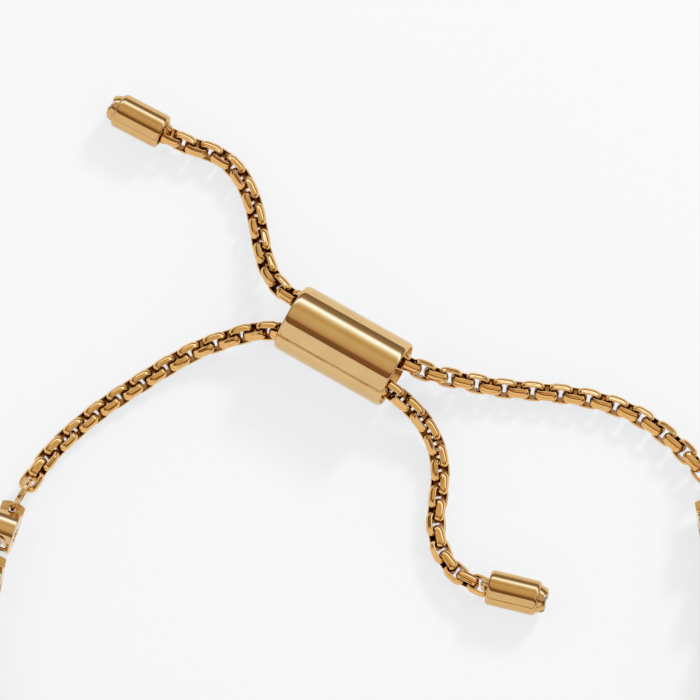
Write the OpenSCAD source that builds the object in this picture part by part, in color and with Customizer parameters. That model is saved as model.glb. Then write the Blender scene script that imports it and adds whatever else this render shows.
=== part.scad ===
// Bolo slider bracelet: two box chain strands run through one slider. A row of drum links makes the front.
// X runs to the right, Y away from the viewer and Z up. The bracelet lies flat on z = 0.

/* [Slider] */
// Length of the slider barrel
slider_length = 12.7; // [10:0.1:16]
// Diameter of the barrel
slider_diameter = 7.4; // [7:0.1:8]
// Wall of the barrel
slider_wall = 0.35; // [0.3:0.05:0.5]
// Round on the barrel's ends
slider_round = 0.3; // [0.1:0.05:0.34]
// How far the soft core sits inside each end
core_recess = 1.95; // [1.5:0.05:2.5]
// Distance between the two chain channels
channel_spacing = 3.3; // [3.2:0.05:3.4]
// Bore of each channel in the core
channel_bore = 2.4; // [2.35:0.05:2.45]

/* [Chain] */
// Outer length of one chain link
link_length = 2.48; // [2.44:0.01:2.5]
// Outer width of one chain link
link_width = 2.2; // [2.16:0.01:2.24]
// Width across a link's rounded corners
link_diagonal = 2.68; // [2.64:0.02:2.8]
// Width of the band that a link is made of
link_band = 0.94; // [0.9:0.01:1.08]
// Thickness of the band at its middle
link_wall = 0.35; // [0.3:0.01:0.37]
// How far the band's outer face falls away at its edges
link_crown = 0.2; // [0.05:0.01:0.22]
// Radius of the inner corners of a link
link_corner = 0.35; // [0.1:0.05:0.45]
// Distance from one link to the next
link_pitch = 1.46; // [1.42:0.01:1.47]

/* [End caps] */
// Diameter of the tube caps on the tails
cap_diameter = 3.7; // [3.3:0.1:4]
// Length of a cap's tube
cap_length = 5.4; // [4.5:0.1:7]
// Round on the ends of a cap
cap_round = 0.3; // [0.1:0.05:0.35]
// Bore of the cap's open end
cap_bore = 2.7; // [2.6:0.05:2.8]
// Depth of the cap's open end
cap_depth = 1.7; // [1.2:0.1:2.2]
// Wire of the bail that holds the last link
bail_wire = 0.6; // [0.5:0.05:0.6]
// Diameter of the domed petal setting on a cap
crown_diameter = 2.96; // [2.9:0.02:3.1]
// How far the setting stands out from the cap
crown_height = 0.85; // [0.8:0.05:0.9]
// Diameter of the crystal
crystal_diameter = 2.1; // [1.8:0.05:2.2]

/* [Front] */
// Diameter of a drum link
drum_diameter = 4.3; // [4.2:0.1:4.4]
// Width of a drum link across the band
drum_width = 2.5; // [2.4:0.1:3]
// Cross bore of a drum link
drum_bore = 1.6; // [1:0.1:1.6]
// How far a drum's lug stands out
lug_reach = 1.05; // [0.95:0.05:1.1]
// Thickness of the lug
lug_thickness = 0.9; // [0.8:0.1:1]
// Hole in the lug for a ring
lug_hole = 0.76; // [0.76:0.02:0.95]
// Wire of the rings between two drums
front_wire = 0.4; // [0.3:0.05:0.4]
// Wire of the jump rings at the chain ends
jump_wire = 0.5; // [0.4:0.05:0.5]
// Outer diameter of a jump ring
jump_diameter = 4; // [3.9:0.1:4.1]

/* [Hidden] */
$fn = 96;
gold = "#d9a94e";
deep_gold = "#c4923c";
core_colour = "#4a4440";
glass = "#e8eef6";

// Drum links on each side of the middle one
side_drums = 11;
drum_count = 2 * side_drums + 1;
function drum_name(i) = str("front_link_", i < 10 ? "0" : "", i);

// The plan is drawn about the slider; this puts the middle of the whole outline on the origin
plan_shift = [-0.52, 16.15, 0];

// Place and turn of the slider
slider_place = [-0.67, -0.54, slider_diameter / 2];
slider_turn = -30.3;
core_half = slider_length / 2 - core_recess;
function slider_point(along, across, roll) = [
    slider_place.x + along * cos(slider_turn) - across * sin(slider_turn),
    slider_place.y + along * sin(slider_turn) + across * cos(slider_turn),
    slider_place.z, roll];
function channel_rows(across, roll) = [for (along = [-core_half, -core_half / 2, core_half / 2, core_half])
    slider_point(along, across, roll)];

// Height of the middle of a chain that lies on the table
lie = 1.09;

// Routes of the chain on each side of the slider. Columns: x, y, height, roll.
left_loop_rows = [
    [-33.1, -14.5, 1.75, -18],
    [-31.0, -11.4, 1.3, -28],
    [-27.9, -8.3, lie, -38],
    [-25.0, -6.0, lie, -41],
    [-21.9, -3.9, lie, -41],
    [-18.8, -1.9, lie, -41],
    [-15.5, -0.17, 1.35, -41],
    [-12.1, 0.84, 2.05, -40],
    [-10.2, 1.22, 2.6, -38],
    [-8.5, 1.25, 3.1, -37],
    [-7.3, 1.07, 3.42, -36],
    [-6.3, 0.75, 3.6, -35]];
right_tail_rows = [
    [4.2, -5.27, 3.4, -32],
    [6.1, -6.68, 2.75, -32],
    [7.7, -8.39, 2.0, -36],
    [8.9, -10.67, 1.35, -40],
    [9.35, -13.2, 1.12, -42],
    [9.2, -15.9, lie, -39],
    [8.9, -18.6, lie, -32],
    [9.2, -21.1, lie, -23],
    [10.15, -23.2, 1.2, -15],
    [11.65, -24.8, 1.5, -8],
    [13.5, -25.77, 1.8, -3]];
left_tail_rows = [
    [-18.69, 22.56, 1.85, -40],
    [-16.5, 21.65, 1.42, -40],
    [-14.25, 20.95, 1.12, -39],
    [-12.3, 19.6, lie, -39],
    [-10.9, 17.55, lie, -40],
    [-10.0, 15.1, lie, -42],
    [-9.5, 12.54, 1.3, -44],
    [-9.0, 9.81, 1.85, -45],
    [-8.15, 7.3, 2.6, -46],
    [-6.85, 5.5, 3.2, -48],
    [-5.1, 4.2, 3.58, -50]];
right_loop_rows = [
    [5.4, -2.09, 3.45, -56],
    [8.3, -3.15, 2.65, -58],
    [11.6, -3.72, 1.75, -54],
    [15.2, -4.33, 1.2, -48],
    [18.9, -4.7, lie, -46],
    [22.6, -5.1, lie, -46],
    [26.3, -5.9, lie, -47],
    [29.8, -7.3, lie, -51],
    [32.9, -9.5, 1.15, -58],
    [35.2, -11.8, 1.45, -65],
    [36.65, -13.6, 1.75, -72]];

// Line of the drum links, from the first lug's hole to the last one's. Columns: x, y, height, roll.
drum_lie = drum_diameter / 2;
front_rows = [
    [-35.0, -17.7, drum_lie, 0],
    [-36.4, -21.5, drum_lie, 0],
    [-37.6, -26.5, drum_lie, 0],
    [-38.3, -32.0, drum_lie, 0],
    [-38.0, -38.3, drum_lie, 0],
    [-35.8, -44.6, drum_lie, 0],
    [-30.4, -50.3, drum_lie, 0],
    [-21.8, -54.8, drum_lie, 0],
    [-11.2, -57.3, drum_lie, 0],
    [0.4, -58.1, drum_lie, 0],
    [12.0, -57.3, drum_lie, 0],
    [22.6, -54.8, drum_lie, 0],
    [31.4, -50.3, drum_lie, 0],
    [36.9, -44.6, drum_lie, 0],
    [39.1, -38.3, drum_lie, 0],
    [39.3, -32.0, drum_lie, 0],
    [38.7, -26.5, drum_lie, 0],
    [37.8, -21.5, drum_lie, 0],
    [37.1, -17.3, drum_lie, 0]];

// Caps: the middle of the mouth, and the way the cap points
left_cap_place = [-19.47, 22.97, cap_diameter / 2];
left_cap_turn = 151.6;
right_cap_place = [14.33, -25.91, cap_diameter / 2];
right_cap_turn = -14;

// A smooth curve through the rows of a route, looked up by the distance along it
steps_a_row = 12;
function row_at(rows, i) = i < 0 ? 2 * rows[0] - rows[1]
    : i > len(rows) - 1 ? 2 * rows[len(rows) - 1] - rows[len(rows) - 2] : rows[i];
function blend(a, b, c, d, t) = 0.5 * (2 * b + (c - a) * t + (2 * a - 5 * b + 4 * c - d) * t * t
    + (3 * b - a - 3 * c + d) * t * t * t);
function curve(rows) = [for (i = [0:len(rows) - 2]) for (k = [0:steps_a_row - (i == len(rows) - 2 ? 0 : 1)])
    blend(row_at(rows, i - 1), row_at(rows, i), row_at(rows, i + 1), row_at(rows, i + 2), k / steps_a_row)];
function gap(p, q) = norm([q[0] - p[0], q[1] - p[1], q[2] - p[2]]);
function travelled(points) = [for (i = 0, s = 0; i < len(points);
    s = s + (i + 1 < len(points) ? gap(points[i], points[i + 1]) : 0), i = i + 1) s];
function column(points, lengths, c) = [for (i = [0:len(points) - 1]) [lengths[i], points[i][c]]];
function route(rows) = let (points = curve(rows), lengths = travelled(points))
    concat([for (c = [0:3]) column(points, lengths, c)], [lengths[len(lengths) - 1]]);
function route_length(r) = r[4];
function roll_at(r, s) = lookup(s, r[3]);
function on_route(r, s) = [lookup(s, r[0]), lookup(s, r[1]), lookup(s, r[2])];

// Puts its child on a route, with X along the route
look_ahead = 0.35;
module place_on(r, s, extra_roll = 0) {
    ahead = on_route(r, s + look_ahead) - on_route(r, s - look_ahead);
    translate(on_route(r, s))
        rotate([0, -asin(ahead.z / norm(ahead)), atan2(ahead.y, ahead.x)])
            rotate([roll_at(r, s) + extra_roll, 0, 0])
                children();
}

strand_a = route(concat(left_loop_rows, channel_rows(-channel_spacing / 2, -34), right_tail_rows));
strand_b = route(concat(left_tail_rows, channel_rows(channel_spacing / 2, -52), right_loop_rows));
function links_on(r) = round(route_length(r) / link_pitch) + 1;
function pitch_of(r) = route_length(r) / (links_on(r) - 1);
// The last link of each strand's first half; the halves meet inside the slider
half_a = 23;
half_b = 22;

// One chain link: a crowned band bent to a rounded box, its hole along Z
crown_radius = (pow(link_band / 2, 2) + pow(link_crown, 2)) / (2 * link_crown);
module crowned_disc(diameter) {
    middle = diameter / 2 - crown_radius;
    rotate_extrude()
        intersection() {
            translate([0, -link_band / 2]) square([diameter, link_band]);
            union() {
                translate([0, -link_band / 2]) square([middle, link_band]);
                translate([middle, 0]) circle(crown_radius);
            }
        }
}
module crowned_block(length, depth) {
    rotate([90, 0, 0])
        linear_extrude(depth, center = true)
            intersection() {
                square([length, link_band], center = true);
                union()
                    for (side = [-1, 1])
                        translate([side * (length / 2 - crown_radius), 0]) circle(crown_radius);
            }
}
module chain_link() {
    difference() {
        intersection() {
            crowned_disc(link_diagonal);
            crowned_block(link_length, link_diagonal);
            rotate([0, 0, 90]) crowned_block(link_width, link_diagonal);
        }
        linear_extrude(2 * link_band, center = true)
            rounded_square(link_length - 2 * link_wall, link_width - 2 * link_wall, link_corner);
    }
}
module chain(r, first, last) {
    for (i = [first:last]) place_on(r, i * pitch_of(r), 90 * (i % 2)) chain_link();
}
module chain_left_loop() color(gold) chain(strand_a, 0, half_a);
module chain_right_tail() color(deep_gold) chain(strand_a, half_a + 1, links_on(strand_a) - 1);
module chain_left_tail() color(deep_gold) chain(strand_b, 0, half_b);
module chain_right_loop() color(gold) chain(strand_b, half_b + 1, links_on(strand_b) - 1);

// A solid bar along X, round in section and with rounded end edges
module rounded_bar(length, diameter, edge) {
    rotate([0, 90, 0])
        rotate_extrude()
            intersection() {
                union() {
                    translate([0, edge - length / 2]) square([diameter / 2, length - 2 * edge]);
                    translate([0, -length / 2]) square([diameter / 2 - edge, length]);
                    for (end = [-1, 1])
                        translate([diameter / 2 - edge, end * (length / 2 - edge)]) circle(edge);
                }
                translate([0, -length]) square([diameter, 2 * length]);
            }
}

// Slider: a round tube
module on_slider() translate(slider_place) rotate([0, 0, slider_turn]) children();
module rounded_square(length, width, edge) {
    square([length - 2 * edge, width], center = true);
    square([length, width - 2 * edge], center = true);
    for (x = [-1, 1], y = [-1, 1])
        translate([x * (length / 2 - edge), y * (width / 2 - edge)]) circle(edge);
}
core_gap = 0.05;
module slider_barrel() color(gold) on_slider() difference() {
    rounded_bar(slider_length, slider_diameter, slider_round);
    rotate([0, 90, 0]) cylinder(h = slider_length + 1, d = slider_diameter - 2 * slider_wall, center = true);
}
module slider_core() color(core_colour) on_slider() rotate([0, 90, 0]) difference() {
    cylinder(h = 2 * core_half, d = slider_diameter - 2 * slider_wall - 2 * core_gap, center = true);
    for (side = [-1, 1])
        translate([0, side * channel_spacing / 2, 0])
            cylinder(h = slider_length, d = channel_bore, center = true);
}

// End cap, drawn with its mouth at the origin and its body along X
notch_width = 0.85;
notch_lift = 0.12;
// How far the middle of the setting's dome lies inside the cap
crown_sink = 0.14;
crystal_top = 0.32;
crystal_point = 0.85;
crystal_table = 1.2;
crystal_inset = 0.06;
crystal_gap = 0.05;
girdle_height = 0.06;
petal_lip = 0.15;
culet = 0.1;
girdle_x = cap_length + crown_height - crystal_inset - crystal_top;
module crown() {
    rotate([0, 90, 0])
        rotate_extrude()
            intersection() {
                translate([0, cap_length - crown_sink]) circle(d = crown_diameter);
                translate([0, cap_length - cap_round]) square([crown_diameter, cap_round + crown_height]);
            }
}
module crown_notches() {
    for (turn = [0, 90])
        rotate([turn, 0, 0])
            translate([cap_length + crown_height + notch_lift, 0, 0])
                rotate([0, 45, 0]) cube([notch_width, 2 * crown_diameter, notch_width], center = true);
}
module crystal_seat() {
    seat = crystal_diameter + 2 * crystal_gap;
    rotate([0, 90, 0]) translate([0, 0, girdle_x]) {
        cylinder(h = girdle_height, d = seat);
        translate([0, 0, girdle_height])
            cylinder(h = crystal_top, d1 = seat, d2 = crystal_diameter - 2 * petal_lip);
        translate([0, 0, -crystal_point])
            cylinder(h = crystal_point, d1 = culet + 4 * crystal_gap, d2 = seat);
    }
}
bail_space = 0.18;
bail_half = link_band / 2 + bail_space + bail_wire / 2;
bail_reach = 0.52;
// How far the bail's ends run into the bottom of the cap
bail_sink = 0.1;
module bail() {
    for (side = [-1, 1])
        translate([-bail_reach, 0, side * bail_half]) {
            rotate([0, 90, 0]) cylinder(h = bail_reach + cap_depth + bail_sink, d = bail_wire);
            sphere(d = bail_wire);
        }
    translate([-bail_reach, 0, 0]) cylinder(h = 2 * bail_half, d = bail_wire, center = true);
}
module end_cap(place, turn, bail_roll) color(gold) translate(place) rotate([0, 0, turn]) {
    difference() {
        union() {
            translate([cap_length / 2, 0, 0]) rounded_bar(cap_length, cap_diameter, cap_round);
            crown();
        }
        rotate([0, 90, 0]) translate([0, 0, -1]) cylinder(h = cap_depth + 1, d = cap_bore);
        crown_notches();
        crystal_seat();
    }
    rotate([bail_roll, 0, 0]) bail();
}
module crystal(place, turn) color(glass) translate(place) rotate([0, 0, turn])
    translate([girdle_x, 0, 0]) rotate([0, 90, 0])
        hull() {
            translate([0, 0, crystal_top - 0.01]) cylinder(h = 0.01, d = crystal_table, $fn = 8);
            rotate([0, 0, 22.5]) cylinder(h = girdle_height, d = crystal_diameter, $fn = 8);
            translate([0, 0, -crystal_point + crystal_gap]) cylinder(h = 0.01, d = culet, $fn = 8);
        }
left_bail_roll = -left_tail_rows[0][3];
right_bail_roll = right_tail_rows[len(right_tail_rows) - 1][3];
module end_cap_left() end_cap(left_cap_place, left_cap_turn, left_bail_roll);
module end_cap_right() end_cap(right_cap_place, right_cap_turn, right_bail_roll);
module crystal_left() crystal(left_cap_place, left_cap_turn);
module crystal_right() crystal(right_cap_place, right_cap_turn);

// A ring of round wire that stands on edge, its plane along X
module wire_ring(outer, wire) {
    rotate([90, 0, 0]) rotate_extrude() translate([(outer - wire) / 2, 0]) circle(d = wire);
}

// Front link: a drum that lies across the band, with a lug at one end for the ring that holds it
drum_edge = 0.15;
lug_bend = 2.75;
lug_tip = drum_diameter / 2 + lug_reach;
lug_root = 1.2;
hole_x = drum_diameter / 2 + 0.33;
pin_wire = 0.4;
pin_x = 1.92;
notch_half = 0.85;
module drum() {
    difference() {
        rotate([0, 0, 90]) rounded_bar(drum_width, drum_diameter, drum_edge);
        rotate([90, 0, 0]) cylinder(h = drum_width + 1, d = drum_bore, center = true);
    }
}
module lug() {
    linear_extrude(lug_thickness, center = true)
        intersection() {
            translate([lug_tip - lug_bend, 0]) circle(lug_bend);
            translate([lug_root, -drum_width / 2]) square([lug_tip, drum_width]);
        }
}
module lug_bore() translate([hole_x, 0, 0]) cylinder(h = drum_diameter, d = lug_hole, center = true);
module notch() {
    translate([1 + notch_half, 0, 0]) {
        cylinder(h = drum_diameter, r = notch_half, center = true);
        translate([1, 0, 0]) cube([2, 2 * notch_half, drum_diameter], center = true);
    }
}
module notch_pin() {
    translate([pin_x, 0, 0])
        rotate([90, 0, 0]) cylinder(h = 2 * notch_half + 0.2, d = pin_wire, center = true);
}
// The lug points along X and the notch the other way
module side_drum() {
    difference() {
        union() {
            drum();
            lug();
        }
        lug_bore();
        rotate([0, 0, 180]) notch();
    }
    rotate([0, 0, 180]) notch_pin();
}
// The middle drum has a lug at both ends
module middle_drum() {
    difference() {
        union() {
            drum();
            for (turn = [0, 180]) rotate([0, 0, turn]) lug();
        }
        for (turn = [0, 180]) rotate([0, 0, turn]) lug_bore();
    }
}
front = route(front_rows);
drum_pitch = (route_length(front) - 2 * hole_x) / (drum_count - 1);
function drum_at(i) = hole_x + (i - 1) * drum_pitch;
middle = side_drums + 1;
module front_link(i) color(gold) place_on(front, drum_at(i)) {
    if (i == middle) middle_drum();
    else rotate([0, 0, i < middle ? 180 : 0]) side_drum();
}

// A ring that stands on edge from one point towards another, leaning to one side
module ring_from(point, towards, outer, wire, lean = 0) {
    translate(point)
        rotate([0, 0, atan2(towards.y - point.y, towards.x - point.x)])
            rotate([lean, 0, 0])
                translate([(outer - wire) / 2, 0, 0]) wire_ring(outer, wire);
}

// Rings between the drums: each hangs in a lug's hole and round the next drum's pin
front_ring_outer = 2.1 + front_wire;
function front_way(s) = on_route(front, s + look_ahead) - on_route(front, s - look_ahead);
function on_link(i, x) = let (way = front_way(drum_at(i)))
    on_route(front, drum_at(i)) + x * way / norm(way);
module front_rings_left() color(deep_gold)
    for (i = [2:middle])
        ring_from(on_link(i, -hole_x), on_link(i - 1, pin_x), front_ring_outer, front_wire);
module front_rings_right() color(deep_gold)
    for (i = [middle:drum_count - 1])
        ring_from(on_link(i, hole_x), on_link(i + 1, -pin_x), front_ring_outer, front_wire);

// Jump rings: each stands in an end drum's lug and takes the last chain link
jump_lean = 5;
module jump_ring_left() color(gold)
    ring_from(on_link(1, -hole_x), left_loop_rows[0], jump_diameter, jump_wire, jump_lean);
module jump_ring_right() color(gold)
    ring_from(on_link(drum_count, hole_x), right_loop_rows[len(right_loop_rows) - 1],
        jump_diameter, jump_wire, -jump_lean);

module laid() translate(plan_shift) children();
laid() slider_barrel();
laid() slider_core();
laid() chain_left_loop();
laid() chain_right_tail();
laid() chain_right_loop();
laid() chain_left_tail();
laid() end_cap_left();
laid() end_cap_right();
laid() crystal_left();
laid() crystal_right();
laid() jump_ring_left();
laid() jump_ring_right();
for (i = [1:drum_count]) laid() front_link(i);
laid() front_rings_left();
laid() front_rings_right();
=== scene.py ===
"""Bolo slider bracelet of gold plated steel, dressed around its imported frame.

Lengths are in metres, as in the frame. MM turns a size in millimetres into metres.
"""

import math

import bmesh
import bpy
import numpy as np
from bpy.props import FloatProperty, FloatVectorProperty, PointerProperty
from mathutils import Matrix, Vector


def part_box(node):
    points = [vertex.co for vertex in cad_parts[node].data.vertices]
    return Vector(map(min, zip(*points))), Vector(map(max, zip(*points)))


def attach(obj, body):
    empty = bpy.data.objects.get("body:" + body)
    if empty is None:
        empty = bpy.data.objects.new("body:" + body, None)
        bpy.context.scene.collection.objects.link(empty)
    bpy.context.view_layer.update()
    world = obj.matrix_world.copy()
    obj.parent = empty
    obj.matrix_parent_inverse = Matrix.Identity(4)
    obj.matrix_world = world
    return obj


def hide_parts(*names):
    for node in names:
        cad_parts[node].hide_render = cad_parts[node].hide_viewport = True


bl_info = {
    "name": "Bolo slider bracelet",
    "version": (1, 0, 0),
    "blender": (4, 5, 0),
    "location": "View3D > Sidebar > Bracelet",
    "description": "Makes a slider bracelet's chains, slider, end caps and drum front",
    "category": "Add Mesh",
}

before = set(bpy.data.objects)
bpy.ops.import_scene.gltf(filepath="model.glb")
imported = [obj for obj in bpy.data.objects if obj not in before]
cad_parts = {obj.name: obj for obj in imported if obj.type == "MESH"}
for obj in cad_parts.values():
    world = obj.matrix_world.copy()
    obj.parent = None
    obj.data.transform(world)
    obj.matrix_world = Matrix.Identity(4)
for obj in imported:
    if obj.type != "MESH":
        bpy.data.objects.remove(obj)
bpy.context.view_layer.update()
MM = 0.001
BODY = "root"
# Turn of the slider on the table, in degrees
SLIDER_TURN = -30.3
# How far below the tips of the petals the crystal's girdle lies
GIRDLE_DEPTH = 0.38 * MM
# How far the crystal's flat table stands above its girdle
TABLE_HEIGHT = 0.32 * MM
# Radius at which a turned form closes on its axis
NEAR_AXIS = 1e-6


# Numbers and colours


def srgb(hex_colour):
    """Linear red, green, blue and alpha of a hex colour."""
    channels = [int(hex_colour[i : i + 2], 16) / 255 for i in (1, 3, 5)]
    linear = [c / 12.92 if c <= 0.04045 else ((c + 0.055) / 1.055) ** 2.4 for c in channels]
    return (*linear, 1.0)


def length(name, description, default):
    """A length in metres for the sidebar."""
    return FloatProperty(
        name=name,
        description=description,
        default=default,
        min=0.0,
        precision=5,
        unit="LENGTH",
        subtype="DISTANCE",
    )


def number(name, description, default, **settings):
    """A plain number or an angle for the sidebar."""
    return FloatProperty(name=name, description=description, default=default, **settings)


def colour(name, description, hex_colour):
    """A colour for the sidebar."""
    return FloatVectorProperty(
        name=name,
        description=description,
        default=srgb(hex_colour),
        size=4,
        min=0.0,
        max=1.0,
        subtype="COLOR",
    )


# Sizes and colours that a user would change


class ChainSizes(bpy.types.PropertyGroup):
    """Sizes of one link of the round box chain"""

    link_length: length("Link length", "Outer length of a link", 2.62 * MM)
    link_width: length("Link width", "Outer width of a link", 2.2 * MM)
    band: length("Band width", "Width of the band that a link is bent from", 1.04 * MM)
    wall: length("Band thickness", "Thickness of the band along a link's sides", 0.41 * MM)
    end_wall: length("End thickness", "Thickness of the band at a link's ends", 0.42 * MM)
    crown: length("Crown", "How far the band's outer face falls away at its edges", 0.28 * MM)
    edge: length("Edge round", "Round on the band's edges", 0.08 * MM)
    outer_squareness: number("Outer squareness", "2 is an oval, more is a box", 3.2)
    inner_squareness: number("Hole squareness", "2 is an oval, more is a box", 5.0)


class SliderSizes(bpy.types.PropertyGroup):
    """Sizes of the slider's round barrel"""

    barrel_length: length("Length", "Length of the barrel", 12.7 * MM)
    diameter: length("Diameter", "Diameter of the barrel", 7.4 * MM)
    wall: length("Wall", "Wall of the barrel", 0.35 * MM)
    lip: length("Lip", "How far the barrel's ends draw in", 0.25 * MM)
    lip_length: length("Lip length", "Length over which the barrel's ends draw in", 0.6 * MM)
    turn: number("Turn", "Turn of the slider on the table", math.radians(SLIDER_TURN), subtype="ANGLE")


class CapSizes(bpy.types.PropertyGroup):
    """Sizes of an end cap with its bail, petals and crystal"""

    diameter: length("Diameter", "Diameter of the tube", 3.7 * MM)
    tube_length: length("Length", "Length of the tube", 5.4 * MM)
    edge: length("Edge round", "Round on the ends of the tube", 0.3 * MM)
    bore: length("Bore", "Bore of the open end", 2.7 * MM)
    depth: length("Depth", "Depth of the open end", 1.7 * MM)
    bail_wire: length("Bail wire", "Wire that holds the last link", 0.6 * MM)
    petals: length("Setting diameter", "Diameter of the petal setting's dome", 2.96 * MM)
    petal_height: length("Setting height", "How far the petals stand out", 0.85 * MM)
    crystal: length("Crystal", "Diameter of the crystal", 2.1 * MM)


class FrontSizes(bpy.types.PropertyGroup):
    """Sizes of the rings and edges of the drum front"""

    ring: length("Ring", "Outer diameter of a ring between two drums", 2.5 * MM)
    ring_wire: length("Ring wire", "Wire of a ring between two drums", 0.4 * MM)
    jump_ring: length("Jump ring", "Outer diameter of a jump ring", 4.0 * MM)
    jump_wire: length("Jump ring wire", "Wire of a jump ring", 0.5 * MM)
    edge: length("Edge round", "Round on the edges of a drum and its lug", 0.06 * MM)


class Finishes(bpy.types.PropertyGroup):
    """Colours of the metal, the painted shade in its recesses, the core, the crystals, the table and its
    light
    """

    gold: colour("Gold", "Polished gold plating of the slider and the front", "#E4BF86")
    deep_gold: colour("Deep gold", "Polished gold plating of the caps", "#E0B678")
    chain_gold: colour("Chain gold", "Polished gold plating of the chains", "#F1BF78")
    # Painted shade: the colour that closed-in recesses are darkened towards, not a colour of the plating
    painted_recess_shade: colour("Recess gold", "Plating in the recesses that the polish does not reach", "#7A4818")
    thrown: colour("Thrown light", "What the gold throws on the table near it", "#C4C4C6")
    core: colour("Core", "Soft insert in the slider", "#2B2723")
    crystal: colour("Crystal", "Clear crystal", "#F4F7FA")
    table: colour("Table", "White table", "#F2F2F2")
    table_glow: colour("Table glow", "The table's own light", "#F0F2F5")
    room: colour("Room", "Even light of the room", "#FFFCF7")


class Studio(bpy.types.PropertyGroup):
    """Camera and lights"""

    elevation: number(
        "Camera elevation", "Angle of the camera above the table", math.radians(75), subtype="ANGLE"
    )
    seen_width: length("Width in view", "Width of the table that the camera sees", 72.917 * MM)
    distance: length("Camera distance", "Distance of the camera from the slider", 2000 * MM)
    key_power: number("Key light", "Power of the soft key light", 1.55, unit="POWER")
    fill: number("Room light", "Brightness of the even room light", 0.385)
    glow: number("Table light", "Brightness of the table's own light", 0.6)


# Node trees


def add_node(tree, kind, values=None, links=None, **settings):
    """Add a node with its settings, its socket values and the sockets that feed it."""
    node = tree.nodes.new(kind)
    for name, value in settings.items():
        setattr(node, name, value)
    for socket, value in (values or {}).items():
        node.inputs[socket].default_value = value
    for socket, source in (links or {}).items():
        tree.links.new(source, node.inputs[socket])
    return node


def new_material(name):
    """An empty material with its output node."""
    material = bpy.data.materials.new(name)
    material.use_nodes = True
    material.node_tree.nodes.clear()
    return material, add_node(material.node_tree, "ShaderNodeOutputMaterial")


# Sizes of the marks in the gold plating
PATCH = 2.5 * MM
SMEAR = 0.7 * MM
BUFFING_LENGTH = 1.2 * MM
# Buffing lines are really 0.01 mm apart. They are drawn this far apart to show.
BUFFING_SPACING = 0.08 * MM
# What the duller patches keep of the plating's red, green and blue
DULLER = (0.94, 0.92, 0.86)
# How near another face must come for shade to be painted into a recess
RECESS_REACH = 0.75 * MM
# Colour sockets of a mix node
MIX_FIRST = 6
MIX_SECOND = 7
MIX_RESULT = 2


def gold_plate(name, shade, roughness, line_depth):
    """Steel with polished gold plating.

    It was tumbled and buffed, which leaves a mirror with hair-fine lines, faint smears from handling
    and plating that is a shade duller in patches.
    """
    finishes = bpy.context.scene.bracelet_finishes
    material, output = new_material(name)
    tree = material.node_tree
    place = add_node(tree, "ShaderNodeTexCoord").outputs["Object"]
    patches = add_node(
        tree,
        "ShaderNodeTexNoise",
        {"Scale": 1 / PATCH, "Detail": 3.0, "Roughness": 0.55},
        {"Vector": place},
    )
    patch_ramp = add_node(
        tree,
        "ShaderNodeMapRange",
        {"From Min": 0.35, "From Max": 0.7},
        {"Value": patches.outputs["Fac"]},
    )
    dull_shade = [kept * channel for kept, channel in zip(DULLER, shade)] + [1.0]
    tint = add_node(
        tree,
        "ShaderNodeMix",
        {MIX_FIRST: shade, MIX_SECOND: dull_shade},
        {"Factor": patch_ramp.outputs["Result"]},
        data_type="RGBA",
    )
    # Painted shade: the plating darkens towards the recess colour the more other faces close it in
    shelter = add_node(
        tree, "ShaderNodeAmbientOcclusion", {"Distance": RECESS_REACH}, samples=6, only_local=True
    )
    openness = add_node(
        tree,
        "ShaderNodeMapRange",
        {"From Min": 0.35, "From Max": 0.85},
        {"Value": shelter.outputs["AO"]},
    )
    shaded_recesses = add_node(
        tree,
        "ShaderNodeMix",
        {MIX_FIRST: finishes.painted_recess_shade},
        {"Factor": openness.outputs["Result"], MIX_SECOND: tint.outputs[MIX_RESULT]},
        data_type="RGBA",
    )
    # The gold throws a neutral light, as the photo's table stays neutral beside it
    rays = add_node(tree, "ShaderNodeLightPath")
    thrown = add_node(
        tree,
        "ShaderNodeMix",
        {MIX_SECOND: finishes.thrown},
        {"Factor": rays.outputs["Is Diffuse Ray"], MIX_FIRST: shaded_recesses.outputs[MIX_RESULT]},
        data_type="RGBA",
    )
    smears = add_node(
        tree,
        "ShaderNodeTexNoise",
        {"Scale": 1 / SMEAR, "Detail": 4.0, "Roughness": 0.6, "Distortion": 0.4},
        {"Vector": place},
    )
    gloss = add_node(
        tree,
        "ShaderNodeMapRange",
        {"From Min": 0.3, "From Max": 0.75, "To Min": roughness * 0.8, "To Max": roughness * 1.4},
        {"Value": smears.outputs["Fac"]},
    )
    drawn_out = add_node(
        tree,
        "ShaderNodeMapping",
        {"Scale": (1 / BUFFING_LENGTH, 1 / BUFFING_SPACING, 1 / BUFFING_SPACING)},
        {"Vector": place},
    )
    hairs = add_node(
        tree,
        "ShaderNodeTexNoise",
        {"Scale": 1.0, "Detail": 2.0},
        {"Vector": drawn_out.outputs["Vector"]},
    )
    relief = add_node(
        tree,
        "ShaderNodeBump",
        {"Strength": 1.0, "Distance": line_depth},
        {"Height": hairs.outputs["Fac"]},
    )
    skin = add_node(
        tree,
        "ShaderNodeBsdfPrincipled",
        {"Metallic": 1.0},
        {
            "Base Color": thrown.outputs[MIX_RESULT],
            "Roughness": gloss.outputs["Result"],
            "Normal": relief.outputs["Normal"],
        },
    )
    tree.links.new(skin.outputs["BSDF"], output.inputs["Surface"])
    return material


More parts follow.
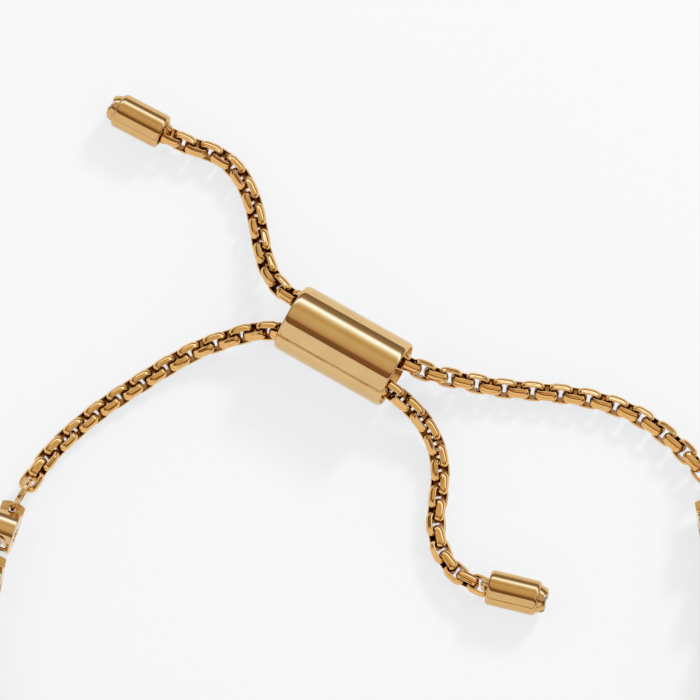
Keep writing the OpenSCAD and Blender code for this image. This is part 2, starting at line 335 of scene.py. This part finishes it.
def silicone_core():
    """Moulded silicone rubber: dark and soft-looking, with a fine matt grain from the mould."""
    grain_size = 0.12 * MM
    grain_depth = 0.01 * MM
    material, output = new_material("silicone_core")
    tree = material.node_tree
    place = add_node(tree, "ShaderNodeTexCoord").outputs["Object"]
    grain = add_node(
        tree, "ShaderNodeTexNoise", {"Scale": 1 / grain_size, "Detail": 3.0}, {"Vector": place}
    )
    relief = add_node(
        tree,
        "ShaderNodeBump",
        {"Strength": 0.6, "Distance": grain_depth},
        {"Height": grain.outputs["Fac"]},
    )
    tone = add_node(
        tree,
        "ShaderNodeMapRange",
        {"To Min": 0.5, "To Max": 0.75},
        {"Value": grain.outputs["Fac"]},
    )
    skin = add_node(
        tree,
        "ShaderNodeBsdfPrincipled",
        {"Base Color": bpy.context.scene.bracelet_finishes.core, "IOR": 1.41},
        {"Roughness": tone.outputs["Result"], "Normal": relief.outputs["Normal"]},
    )
    tree.links.new(skin.outputs["BSDF"], output.inputs["Surface"])
    return material


def cut_crystal():
    """Machine-cut lead-free crystal: clear, bright at its facets, with a faint haze of wear on them."""
    haze_size = 0.3 * MM
    material, output = new_material("cut_crystal")
    tree = material.node_tree
    place = add_node(tree, "ShaderNodeTexCoord").outputs["Object"]
    haze = add_node(
        tree, "ShaderNodeTexNoise", {"Scale": 1 / haze_size, "Detail": 3.0}, {"Vector": place}
    )
    gloss = add_node(
        tree,
        "ShaderNodeMapRange",
        {"To Min": 0.0, "To Max": 0.05},
        {"Value": haze.outputs["Fac"]},
    )
    skin = add_node(
        tree,
        "ShaderNodeBsdfPrincipled",
        {
            "Base Color": bpy.context.scene.bracelet_finishes.crystal,
            "IOR": 1.58,
            "Transmission Weight": 1.0,
        },
        {"Roughness": gloss.outputs["Result"]},
    )
    tree.links.new(skin.outputs["BSDF"], output.inputs["Surface"])
    return material


def white_table(glow):
    """Opal acrylic of a light table: even white, softly lit from below, with a fine pebbled skin."""
    pebble_size = 0.5 * MM
    pebble_depth = 0.01 * MM
    finishes = bpy.context.scene.bracelet_finishes
    material, output = new_material("opal_table")
    tree = material.node_tree
    place = add_node(tree, "ShaderNodeTexCoord").outputs["Object"]
    pebble = add_node(
        tree, "ShaderNodeTexNoise", {"Scale": 1 / pebble_size, "Detail": 2.0}, {"Vector": place}
    )
    relief = add_node(
        tree,
        "ShaderNodeBump",
        {"Strength": 0.1, "Distance": pebble_depth},
        {"Height": pebble.outputs["Fac"]},
    )
    skin = add_node(
        tree,
        "ShaderNodeBsdfPrincipled",
        {
            "Base Color": finishes.table,
            "Roughness": 0.85,
            "Specular IOR Level": 0.1,
            "Emission Color": finishes.table_glow,
            "Emission Strength": glow,
        },
        {"Normal": relief.outputs["Normal"]},
    )
    tree.links.new(skin.outputs["BSDF"], output.inputs["Surface"])
    return material


# Shapes: each is a pair of point and face lists


def grid_faces(rows, columns, close_rows=False, close_columns=True):
    """Quads over a grid of points that is stored row by row."""
    faces = []
    for row in range(rows if close_rows else rows - 1):
        below = row * columns
        above = (row + 1) % rows * columns
        for column in range(columns if close_columns else columns - 1):
            following = (column + 1) % columns
            faces.append((below + column, below + following, above + following, above + column))
    return faces


def joined(shapes):
    """Several shapes as one."""
    points = []
    faces = []
    for shape_points, shape_faces in shapes:
        start = len(points)
        points.extend(tuple(point) for point in shape_points)
        faces.extend(tuple(index + start for index in face) for face in shape_faces)
    return points, faces


def moved(shape, place):
    """A shape put at a place: its origin and its three axes."""
    origin, axes = place
    points = np.asarray(shape[0]) @ np.asarray(axes) + np.asarray(origin)
    return points, shape[1]


def lathe(profile, segments, closed=False):
    """A form turned about X from rows of distance along X and radius."""
    angles = np.linspace(0, 2 * math.pi, segments, endpoint=False)
    points = [(x, r * math.cos(a), r * math.sin(a)) for x, r in profile for a in angles]
    return points, grid_faces(len(profile), segments, close_rows=closed)


def corner(centre, radius, start, end, steps):
    """Points on an arc in a profile, from one angle to another, in degrees."""
    angles = np.radians(np.linspace(start, end, steps))
    return [(centre[0] + radius * math.cos(a), centre[1] + radius * math.sin(a)) for a in angles]


def tube(path, radius, sides, closed=False):
    """Round wire along a path."""
    path = np.asarray(path, dtype=float)
    ahead = np.roll(path, -1, axis=0) - np.roll(path, 1, axis=0)
    if not closed:
        ahead[0] = path[1] - path[0]
        ahead[-1] = path[-1] - path[-2]
    ahead /= np.linalg.norm(ahead, axis=1)[:, None]
    side = np.cross(ahead[0], (0.0, 0.0, 1.0) if abs(ahead[0][2]) < 0.9 else (1.0, 0.0, 0.0))
    points = []
    for place, way in zip(path, ahead):
        side = side - way * side.dot(way)
        side /= np.linalg.norm(side)
        up = np.cross(way, side)
        for angle in np.linspace(0, 2 * math.pi, sides, endpoint=False):
            points.append(place + radius * (math.cos(angle) * side + math.sin(angle) * up))
    faces = grid_faces(len(path), sides, close_rows=closed)
    if not closed:
        faces += [tuple(range(sides))[::-1], tuple(range(len(points) - sides, len(points)))]
    return points, faces


def rounded_box(length, width, squareness, angle):
    """Radius of a box with soft corners and arched sides, along each angle."""
    along = np.abs(np.cos(angle)) / (length / 2)
    across = np.abs(np.sin(angle)) / (width / 2)
    return (along**squareness + across**squareness) ** (-1 / squareness)


def chain_link(sizes):
    """A link of the chain along X: a crowned band bent to a rounded box. Its hole is along Z."""
    around = 80
    angle = np.linspace(0, 2 * math.pi, around, endpoint=False)
    half = sizes.band / 2
    crown_radius = (half**2 + sizes.crown**2) / (2 * sizes.crown)
    face = rounded_box(sizes.link_length, sizes.link_width, sizes.outer_squareness, angle)
    inner = rounded_box(
        sizes.link_length - 2 * sizes.end_wall,
        sizes.link_width - 2 * sizes.wall,
        sizes.inner_squareness,
        angle,
    )

    def outer(z):
        return face - crown_radius + math.sqrt(crown_radius**2 - z**2)

    flat = half - sizes.edge
    inner_edge = 0.6 * sizes.edge
    turns = np.radians([30, 60, 90])
    # Half of the band's section, from its middle to its inner face. Columns: radius, height.
    upper = [(outer(z), z) for z in np.linspace(0, flat, 6)]
    for turn in turns:
        fall = sizes.edge * (1 - math.cos(turn))
        upper.append((outer(flat) - fall, flat + sizes.edge * math.sin(turn)))
    for turn in [0, *turns]:
        drop = inner_edge * (1 - math.cos(turn))
        upper.append((inner + inner_edge * (1 - math.sin(turn)), half - drop))
    upper.append((inner, 0.5 * half))
    lower = [(radius, -z) for radius, z in upper[:0:-1]]
    section = upper + [(inner, 0.0)] + lower
    points = []
    for radius, z in section:
        points.extend(zip(radius * np.cos(angle), radius * np.sin(angle), np.full(around, z)))
    faces = grid_faces(len(section), around, close_rows=True)
    return np.array(points), [face[::-1] for face in faces]


def barrel_shape(sizes):
    """The slider's barrel along X: a round tube with rolled lips."""
    half = sizes.barrel_length / 2
    radius = sizes.diameter / 2
    inner_lip = sizes.wall - sizes.lip
    profile = [(x, radius) for x in np.linspace(0, half - sizes.lip_length, 5)]
    for turn in np.radians(np.arange(10, 91, 10)):
        back = sizes.lip_length * (1 - math.sin(turn))
        profile.append((half - back, radius - sizes.lip * (1 - math.cos(turn))))
    for turn in np.radians([30, 60, 90]):
        inset = sizes.lip + inner_lip * math.sin(turn)
        profile.append((half - inner_lip * (1 - math.cos(turn)), radius - inset))
    profile += [(-x, r) for x, r in profile[:0:-1]]
    return lathe(profile, segments=160, closed=True)


def cap_tube(sizes):
    """An end cap's tube with its mouth at the origin and its body along X."""
    radius = sizes.diameter / 2
    bore = sizes.bore / 2
    edge = sizes.edge
    # The ends draw in over more length than depth
    draw = 1.6 * edge
    mouth = radius - edge - bore
    under_petals = 0.1 * MM
    turns = np.radians(np.arange(0, 91, 10))
    profile = [(sizes.depth, NEAR_AXIS), (sizes.depth, bore - mouth)]
    profile += corner((sizes.depth - mouth, bore - mouth), mouth, 0, 90, steps=4)
    profile += corner((mouth, bore + mouth), mouth, 270, 180, steps=4)
    profile += [(draw * (1 - math.sin(t)), radius - edge * (1 - math.cos(t))) for t in turns[:0:-1]]
    profile += [(x, radius) for x in np.linspace(draw, sizes.tube_length - draw, 5)]
    for turn in turns[1:]:
        back = draw * (1 - math.sin(turn))
        profile.append((sizes.tube_length - back, radius - edge * (1 - math.cos(turn))))
    profile.append((sizes.tube_length, sizes.petals / 2 - under_petals))
    return lathe(profile, segments=128)


def petal_setting(sizes):
    """The domed setting with four petals that hold the crystal, and the seat that it lies in."""
    around = 192
    dome = sizes.petals / 2
    sunk = 0.14 * MM
    girdle = sizes.tube_length + sizes.petal_height - GIRDLE_DEPTH
    seat = sizes.crystal / 2 + 0.05 * MM
    lip = sizes.crystal / 2 - 0.15 * MM
    seat_floor = girdle - 0.85 * MM
    seat_floor_radius = 0.15 * MM
    notch_depth = 0.48 * MM
    notch_reach = 1.15 * notch_depth
    notch_radius = 1.2 * MM
    base = sizes.tube_length - 0.1 * MM
    edge = 0.07 * MM
    turns = (0.5, 1.0, 1.57)

    def dome_radius(x):
        return math.sqrt(dome**2 - (x - sizes.tube_length + sunk) ** 2)

    points = []
    for step in range(around):
        angle = 2 * math.pi * step / around
        past_notch = (angle + math.pi / 4) % (math.pi / 2) - math.pi / 4
        distance = abs(notch_radius * math.sin(past_notch))
        opened = max(0.0, 1 - distance / notch_reach)
        dip = notch_depth * opened * opened * (3 - 2 * opened)
        tip = sizes.tube_length + sizes.petal_height - dip
        profile = [(x, dome_radius(x)) for x in np.linspace(base, tip - edge, 8)]
        outer = profile[-1][1]
        for turn in turns:
            profile.append((tip - edge * (1 - math.sin(turn)), outer - edge * (1 - math.cos(turn))))
        inner = seat + (lip - seat) * max(0.0, (tip - edge - girdle) / (GIRDLE_DEPTH - edge))
        inner = min(inner, outer - 2 * edge)
        for turn in (0.0, *turns):
            profile.append((tip - edge * (1 - math.cos(turn)), inner + edge * (1 - math.sin(turn))))
        ledge = min(girdle, tip - 1.5 * edge)
        profile += [
            (ledge, seat - 0.02 * MM),
            (seat_floor, seat_floor_radius),
            (seat_floor, NEAR_AXIS),
        ]
        points.extend((x, r * math.cos(angle), r * math.sin(angle)) for x, r in profile)
    faces = grid_faces(around, len(profile), close_rows=True, close_columns=False)
    return points, [face[::-1] for face in faces]


def bail_shape(sizes, band):
    """The wire bail in a cap's mouth, which the last link hangs on."""
    wire = sizes.bail_wire
    slack = 0.18 * MM
    half = band / 2 + slack + wire / 2
    reach = 0.52 * MM
    bend = 0.3 * MM
    soldered = 0.1 * MM
    inside = sizes.depth + soldered
    path = [(inside, 0, half), (0.5 * inside, 0, half)]
    path += [(x, 0, z) for x, z in corner((bend - reach, half - bend), bend, 90, 180, steps=8)]
    path += [(-reach, 0, 0)]
    path += [(x, 0, -z) for x, z in corner((bend - reach, half - bend), bend, 180, 90, steps=8)]
    path += [(0.5 * inside, 0, -half), (inside, 0, -half)]
    return tube(path, wire / 2, sides=24)


def ring_shape(outer, wire):
    """A ring of round wire in the plane of X and Y."""
    around = 72
    radius = (outer - wire) / 2
    angles = np.linspace(0, 2 * math.pi, around, endpoint=False)
    circle = [(radius * math.cos(a), radius * math.sin(a), 0) for a in angles]
    return tube(circle, wire / 2, sides=20, closed=True)


def crystal_points(sizes):
    """Corners of a brilliant cut along X. The girdle is at the origin."""
    radius = sizes.crystal / 2
    rows = [
        # along X, radius, corners, turn in corners
        (TABLE_HEIGHT, 0.57 * radius, 8, 0.0),
        (0.20 * MM, 0.80 * radius, 8, 0.5),
        (0.05 * MM, radius, 16, 0.0),
        (0.0, radius, 16, 0.0),
        (-0.45 * MM, 0.46 * radius, 8, 0.5),
        (-0.80 * MM, 0.0, 1, 0.0),
    ]
    points = []
    for x, row_radius, corners, turn in rows:
        for step in range(corners):
            angle = 2 * math.pi * (step + turn) / corners
            points.append((x, row_radius * math.cos(angle), row_radius * math.sin(angle)))
    return points


# The frame's solids


def loose_solids(node):
    """The middle and the main axes of each loose solid in a node, the widest spread first."""
    weld = 1e-7
    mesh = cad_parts[node].data
    mesh.calc_loop_triangles()
    points = np.empty(3 * len(mesh.vertices))
    mesh.vertices.foreach_get("co", points)
    points = points.reshape(-1, 3)
    corners = np.empty(3 * len(mesh.loop_triangles), dtype=np.int64)
    mesh.loop_triangles.foreach_get("vertices", corners)
    corners = corners.reshape(-1, 3)
    _, welded = np.unique(np.round(points / weld), axis=0, return_inverse=True)
    triangles = welded.reshape(-1)[corners]
    label = np.arange(triangles.max() + 1)
    settled = False
    while not settled:
        least = label[triangles].min(axis=1)
        spread = label.copy()
        for column in range(3):
            np.minimum.at(spread, triangles[:, column], least)
        spread = spread[spread]
        settled = bool((spread == label).all())
        label = spread
    solid_of = label[triangles[:, 0]]
    solids = []
    for solid in np.unique(solid_of):
        chosen = points[corners[solid_of == solid]]
        area = np.linalg.norm(np.cross(chosen[:, 1] - chosen[:, 0], chosen[:, 2] - chosen[:, 0]), axis=1)
        middles = chosen.mean(axis=1)
        centre = (middles * area[:, None]).sum(axis=0) / area.sum()
        offset = middles - centre
        spread = (offset * area[:, None]).T @ offset
        _, axes = np.linalg.eigh(spread)
        axes = axes[:, ::-1].T
        axes[2] = np.cross(axes[0], axes[1])
        solids.append((centre, axes))
    return solids


def middle_of(node):
    """The middle of a node's box."""
    low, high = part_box(node)
    return (Vector(low) + Vector(high)) / 2


def far_end(node, way):
    """The middle of the flat end of a node, the end that lies farthest along a way."""
    flatness = 0.001 * MM
    points = np.array([vertex.co[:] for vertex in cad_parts[node].data.vertices])
    reach = points @ np.array(way)
    end = points[reach > reach.max() - flatness]
    return Vector(np.unique(np.round(end, 8), axis=0).mean(axis=0))


def add_mesh(name, mesh, material, node):
    """Make a piece of a mesh that rides on the bracelet and stands for a node."""
    mesh.materials.append(material)
    piece = bpy.data.objects.new(name, mesh)
    bpy.context.scene.collection.objects.link(piece)
    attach(piece, BODY)
    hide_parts(node)
    return piece


def add_metal(name, shape, material, node, sharp=None):
    """Make a smooth gold piece. Edges above the sharp angle, in degrees, stay crisp."""
    mesh = bpy.data.meshes.new(name)
    mesh.from_pydata([tuple(map(float, point)) for point in shape[0]], [], shape[1])
    mesh.validate()
    mesh.shade_smooth()
    if sharp is not None:
        mesh.set_sharp_from_angle(angle=math.radians(sharp))
    return add_mesh(name, mesh, material, node)


def add_softened(node, material, edge):
    """Copy a drum link with its faces welded and its edges rounded."""
    weld = 0.0005 * MM
    flat_angle = math.radians(0.5)
    edge_angle = math.radians(35)
    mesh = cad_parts[node].data.copy()
    mesh.name = f"{node}_drum"
    mesh.materials.clear()
    form = bmesh.new()
    form.from_mesh(mesh)
    bmesh.ops.remove_doubles(form, verts=form.verts, dist=weld)
    bmesh.ops.dissolve_limit(
        form, angle_limit=flat_angle, verts=form.verts, edges=form.edges, delimit={"NORMAL"}
    )
    for face in form.faces:
        face.smooth = True
    form.to_mesh(mesh)
    form.free()
    piece = add_mesh(mesh.name, mesh, material, node)
    bevel = piece.modifiers.new("rounded edges", "BEVEL")
    bevel.width = edge
    bevel.segments = 3
    bevel.limit_method = "ANGLE"
    bevel.angle_limit = edge_angle
    bevel.harden_normals = True
    return piece


def add_crystal(name, corners, material, node):
    """Make a crystal: the flat facets that lie round its corners."""
    form = bmesh.new()
    for point in corners:
        form.verts.new([float(value) for value in point])
    bmesh.ops.convex_hull(form, input=form.verts)
    mesh = bpy.data.meshes.new(name)
    form.to_mesh(mesh)
    form.free()
    return add_mesh(name, mesh, material, node)


# Operators


class BRACELET_OT_chains(bpy.types.Operator):
    """Add the four chain stretches, link by link"""

    bl_idname = "bracelet.add_chains"
    bl_label = "Chains"

    def execute(self, context):
        finishes = context.scene.bracelet_finishes
        material = gold_plate(
            "gold_plated_chain", finishes.chain_gold, roughness=0.08, line_depth=0.0005 * MM
        )
        link = chain_link(context.scene.bracelet_chain)
        for node in ("chain_left_loop", "chain_right_tail", "chain_right_loop", "chain_left_tail"):
            links = joined(moved(link, place) for place in loose_solids(node))
            add_metal(f"{node}_links", links, material, node)
        return {"FINISHED"}


class BRACELET_OT_slider(bpy.types.Operator):
    """Add the slider's barrel and finish its core"""

    bl_idname = "bracelet.add_slider"
    bl_label = "Slider"

    def execute(self, context):
        sizes = context.scene.bracelet_slider
        along = Vector((math.cos(sizes.turn), math.sin(sizes.turn), 0))
        axes = (along, Vector((-along.y, along.x, 0)), Vector((0, 0, 1)))
        barrel = moved(barrel_shape(sizes), (middle_of("slider_barrel"), axes))
        finishes = context.scene.bracelet_finishes
        material = gold_plate("gold_plated_slider", finishes.gold, roughness=0.05, line_depth=0.0005 * MM)
        add_metal("slider_shell", barrel, material, "slider_barrel")
        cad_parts["slider_core"].material_slots[0].material = silicone_core()
        return {"FINISHED"}


class BRACELET_OT_caps(bpy.types.Operator):
    """Add the two end caps with their bails, petals and crystals"""

    bl_idname = "bracelet.add_caps"
    bl_label = "End caps"

    def execute(self, context):
        sizes = context.scene.bracelet_cap
        finishes = context.scene.bracelet_finishes
        material = gold_plate(
            "gold_plated_caps", finishes.deep_gold, roughness=0.07, line_depth=0.0006 * MM
        )
        glass = cut_crystal()
        girdle = sizes.tube_length + sizes.petal_height - GIRDLE_DEPTH
        stone_top = girdle + TABLE_HEIGHT
        # Columns: side, turn of the cap on the table, roll of the bail about the cap, both in degrees
        for side, turn, roll in (("left", 151.6, 40), ("right", -14, -3)):
            cap, stone = f"end_cap_{side}", f"crystal_{side}"
            along = Vector((math.cos(math.radians(turn)), math.sin(math.radians(turn)), 0))
            across = Vector((-along.y, along.x, 0))
            up = Vector((0, 0, 1))
            mouth = far_end(stone, along) - stone_top * along
            tilt = math.radians(roll)
            bail_axes = (
                along,
                math.cos(tilt) * across + math.sin(tilt) * up,
                -math.sin(tilt) * across + math.cos(tilt) * up,
            )
            cap_axes = (along, across, up)
            metal = joined(
                [
                    moved(cap_tube(sizes), (mouth, cap_axes)),
                    moved(petal_setting(sizes), (mouth, cap_axes)),
                    moved(bail_shape(sizes, context.scene.bracelet_chain.band), (mouth, bail_axes)),
                ]
            )
            add_metal(f"cap_{side}", metal, material, cap, sharp=50)
            corners = moved((crystal_points(sizes), []), (mouth + girdle * along, cap_axes))[0]
            add_crystal(f"cut_crystal_{side}", corners, glass, stone)
        return {"FINISHED"}


class BRACELET_OT_front(bpy.types.Operator):
    """Add the drum links, the rings between them and the jump rings"""

    bl_idname = "bracelet.add_front"
    bl_label = "Front"

    def execute(self, context):
        sizes = context.scene.bracelet_front
        finishes = context.scene.bracelet_finishes
        material = gold_plate("gold_plated_front", finishes.gold, roughness=0.08, line_depth=0.0006 * MM)
        ring = ring_shape(sizes.ring, sizes.ring_wire)
        for side in ("left", "right"):
            node = f"front_rings_{side}"
            rings = joined(moved(ring, place) for place in loose_solids(node))
            add_metal(f"{node}_wire", rings, material, node)
        jump = ring_shape(sizes.jump_ring, sizes.jump_wire)
        for side in ("left", "right"):
            node = f"jump_ring_{side}"
            add_metal(f"{node}_wire", moved(jump, loose_solids(node)[0]), material, node)
        for node in [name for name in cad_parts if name.startswith("front_link_")]:
            add_softened(node, material, sizes.edge)
        return {"FINISHED"}


# The tent as the gold mirrors it, from the lower left over the top to the upper right.
# Columns: angle from overhead in degrees, colour, brightness.
STUDIO_BANDS = [
    (-88.5, "#7A3604", 0.9),
    (-87.5, "#F3F4FA", 1.0),
    (-38, "#F3F4FA", 1.0),
    (-37, "#84634A", 1.0),
    (-20.5, "#886850", 1.0),
    (-16.5, "#BA9C80", 1.0),
    (-12.5, "#CEB596", 1.0),
    (-3, "#D9C9AE", 1.0),
    (13, "#DDD3B9", 1.0),
    (23, "#D0C19F", 1.0),
    (30, "#D3C5A3", 1.0),
    (36.5, "#ECE7D6", 1.0),
    (40.5, "#F9FEFF", 1.05),
    (44, "#CEDFFF", 1.85),
    (48, "#A8C5FF", 3.3),
    (55, "#A8C5FF", 3.5),
    (59, "#C3D9FF", 2.0),
    (63, "#C0B8B2", 1.0),
    (67, "#A7998D", 1.0),
    (71.5, "#998D7F", 1.0),
    (80, "#8B7F72", 1.0),
]
BRIGHTEST = 3.5
# Flat direction square to the slider, across the bands, and the one along the tent's open ends
BAND_WAY = Vector((math.sin(math.radians(-SLIDER_TURN)), math.cos(math.radians(-SLIDER_TURN)), 0))
END_WAY = Vector((BAND_WAY.y, -BAND_WAY.x, 0))
# The tent's open ends: where they begin, where nothing else is seen, and how bright they are
END_BEGINS = 0.8
END_FULL = 0.92
END_BRIGHTNESS = 0.22
# The key light: its side and its distance in metres, then its height and its heading
KEY_SIZE = 0.17
KEY_DISTANCE = 1.0
KEY_HEIGHT = math.radians(31.5)
KEY_HEADING = math.radians(54)
# The place that the camera looks at
SEEN_PLACE = Vector((-0.52 * MM, 16.15 * MM, 0))


def light_room(fill):
    """A white tent: the gold mirrors its panels and dark gaps, and the table sees it even."""
    world = bpy.data.worlds.new("white_tent")
    world.use_nodes = True
    tree = world.node_tree
    tree.nodes.clear()
    way = add_node(tree, "ShaderNodeTexCoord").outputs["Generated"]
    split = add_node(tree, "ShaderNodeSeparateXYZ", None, {"Vector": way})
    sideways = add_node(tree, "ShaderNodeVectorMath", {1: BAND_WAY}, {0: way}, operation="DOT_PRODUCT")
    lean = add_node(
        tree,
        "ShaderNodeMath",
        None,
        {0: sideways.outputs["Value"], 1: split.outputs["Z"]},
        operation="ARCTAN2",
    )
    spot = add_node(
        tree,
        "ShaderNodeMapRange",
        {"From Min": -math.pi, "From Max": math.pi},
        {"Value": lean.outputs["Value"]},
    )
    bands = add_node(tree, "ShaderNodeValToRGB", None, {"Fac": spot.outputs["Result"]})
    stops = bands.color_ramp.elements
    while len(stops) < len(STUDIO_BANDS):
        stops.new(1.0)
    for stop, (angle, hex_colour, brightness) in zip(stops, STUDIO_BANDS):
        stop.position = 0.5 + angle / 360
        stop.color = [channel * brightness / BRIGHTEST for channel in srgb(hex_colour)[:3]] + [1.0]
    endways = add_node(tree, "ShaderNodeVectorMath", {1: END_WAY}, {0: way}, operation="DOT_PRODUCT")
    outwards = add_node(tree, "ShaderNodeMath", None, {0: endways.outputs["Value"]}, operation="ABSOLUTE")
    open_part = add_node(
        tree,
        "ShaderNodeMapRange",
        {"From Min": END_FULL, "From Max": END_BEGINS, "To Min": END_BRIGHTNESS, "To Max": 1.0},
        {"Value": outwards.outputs["Value"]},
    )
    strength = add_node(
        tree, "ShaderNodeMath", {1: BRIGHTEST}, {0: open_part.outputs["Result"]}, operation="MULTIPLY"
    )
    mirrored = add_node(
        tree,
        "ShaderNodeBackground",
        None,
        {"Color": bands.outputs["Color"], "Strength": strength.outputs["Value"]},
    )
    room = bpy.context.scene.bracelet_finishes.room
    even = add_node(tree, "ShaderNodeBackground", {"Color": room, "Strength": fill})
    rays = add_node(tree, "ShaderNodeLightPath")
    clear = add_node(
        tree,
        "ShaderNodeMath",
        None,
        {0: rays.outputs["Is Glossy Ray"], 1: rays.outputs["Is Transmission Ray"]},
        operation="MAXIMUM",
    )
    # Light that a piece throws on the table comes from the even room, or it would tint the shadows
    direct = add_node(
        tree, "ShaderNodeMath", {1: 0.5}, {0: rays.outputs["Diffuse Depth"]}, operation="LESS_THAN"
    )
    mirror_part = add_node(
        tree,
        "ShaderNodeMath",
        None,
        {0: clear.outputs["Value"], 1: direct.outputs["Value"]},
        operation="MULTIPLY",
    )
    mix = add_node(
        tree,
        "ShaderNodeMixShader",
        None,
        {0: mirror_part.outputs["Value"], 1: even.outputs["Background"], 2: mirrored.outputs["Background"]},
    )
    add_node(tree, "ShaderNodeOutputWorld", None, {"Surface": mix.outputs["Shader"]})
    bpy.context.scene.world = world


def add_key_light(power):
    """A soft box up and to the right, which gives the soft shadows."""
    light = bpy.data.lights.new("key_light", "AREA")
    light.shape = "SQUARE"
    light.size = KEY_SIZE
    light.energy = power
    flat = math.cos(KEY_HEIGHT)
    way = Vector((math.cos(KEY_HEADING) * flat, math.sin(KEY_HEADING) * flat, math.sin(KEY_HEIGHT)))
    key = bpy.data.objects.new("key_light", light)
    key.location = way * KEY_DISTANCE
    key.rotation_euler = way.to_track_quat("Z", "Y").to_euler()
    key.visible_glossy = False
    bpy.context.scene.collection.objects.link(key)


def add_camera(studio):
    """The camera looks down at the slider's side of the loop."""
    camera = bpy.data.cameras.new("camera")
    camera.sensor_width = 36.0
    camera.lens = camera.sensor_width * studio.distance / studio.seen_width
    camera.clip_start = 0.01
    camera.clip_end = 20.0
    way = Vector((0, -math.cos(studio.elevation), math.sin(studio.elevation)))
    holder = bpy.data.objects.new("camera", camera)
    holder.location = SEEN_PLACE + studio.distance * way
    holder.rotation_euler = way.to_track_quat("Z", "Y").to_euler()
    bpy.context.scene.collection.objects.link(holder)
    bpy.context.scene.camera = holder


class BRACELET_OT_stage(bpy.types.Operator):
    """Add the white table, the lights and the camera"""

    bl_idname = "bracelet.add_stage"
    bl_label = "Table, lights and camera"

    def execute(self, context):
        studio = context.scene.bracelet_studio
        reach = 3.0
        under = -0.01 * MM
        table = bpy.data.meshes.new("table")
        corners = [(x * reach, y * reach, under) for x, y in ((-1, -1), (1, -1), (1, 1), (-1, 1))]
        table.from_pydata(corners, [], [(0, 1, 2, 3)])
        table.materials.append(white_table(studio.glow))
        floor = bpy.data.objects.new("table", table)
        context.scene.collection.objects.link(floor)
        light_room(studio.fill)
        add_key_light(studio.key_power)
        add_camera(studio)
        context.scene.view_settings.view_transform = "Standard"
        return {"FINISHED"}


class BRACELET_PT_panel(bpy.types.Panel):
    """Lists the bracelet's operators"""

    bl_label = "Bolo slider bracelet"
    bl_idname = "BRACELET_PT_panel"
    bl_space_type = "VIEW_3D"
    bl_region_type = "UI"
    bl_category = "Bracelet"

    def draw(self, context):
        for operator in OPERATORS:
            self.layout.operator(operator.bl_idname)


SETTINGS = {
    "bracelet_chain": ChainSizes,
    "bracelet_slider": SliderSizes,
    "bracelet_cap": CapSizes,
    "bracelet_front": FrontSizes,
    "bracelet_finishes": Finishes,
    "bracelet_studio": Studio,
}
OPERATORS = [
    BRACELET_OT_chains,
    BRACELET_OT_slider,
    BRACELET_OT_caps,
    BRACELET_OT_front,
    BRACELET_OT_stage,
]
CLASSES = [*SETTINGS.values(), *OPERATORS, BRACELET_PT_panel]


def register():
    """Add the classes and give the scene their settings."""
    for item in CLASSES:
        bpy.utils.register_class(item)
    for name, group in SETTINGS.items():
        setattr(bpy.types.Scene, name, PointerProperty(type=group))


def unregister():
    """Take away what register added."""
    for name in SETTINGS:
        delattr(bpy.types.Scene, name)
    for item in reversed(CLASSES):
        bpy.utils.unregister_class(item)


def main():
    """Build the bracelet and its stage."""
    register()
    bpy.ops.bracelet.add_chains()
    bpy.ops.bracelet.add_slider()
    bpy.ops.bracelet.add_caps()
    bpy.ops.bracelet.add_front()
    bpy.ops.bracelet.add_stage()


if __name__ == "__main__":
    main()
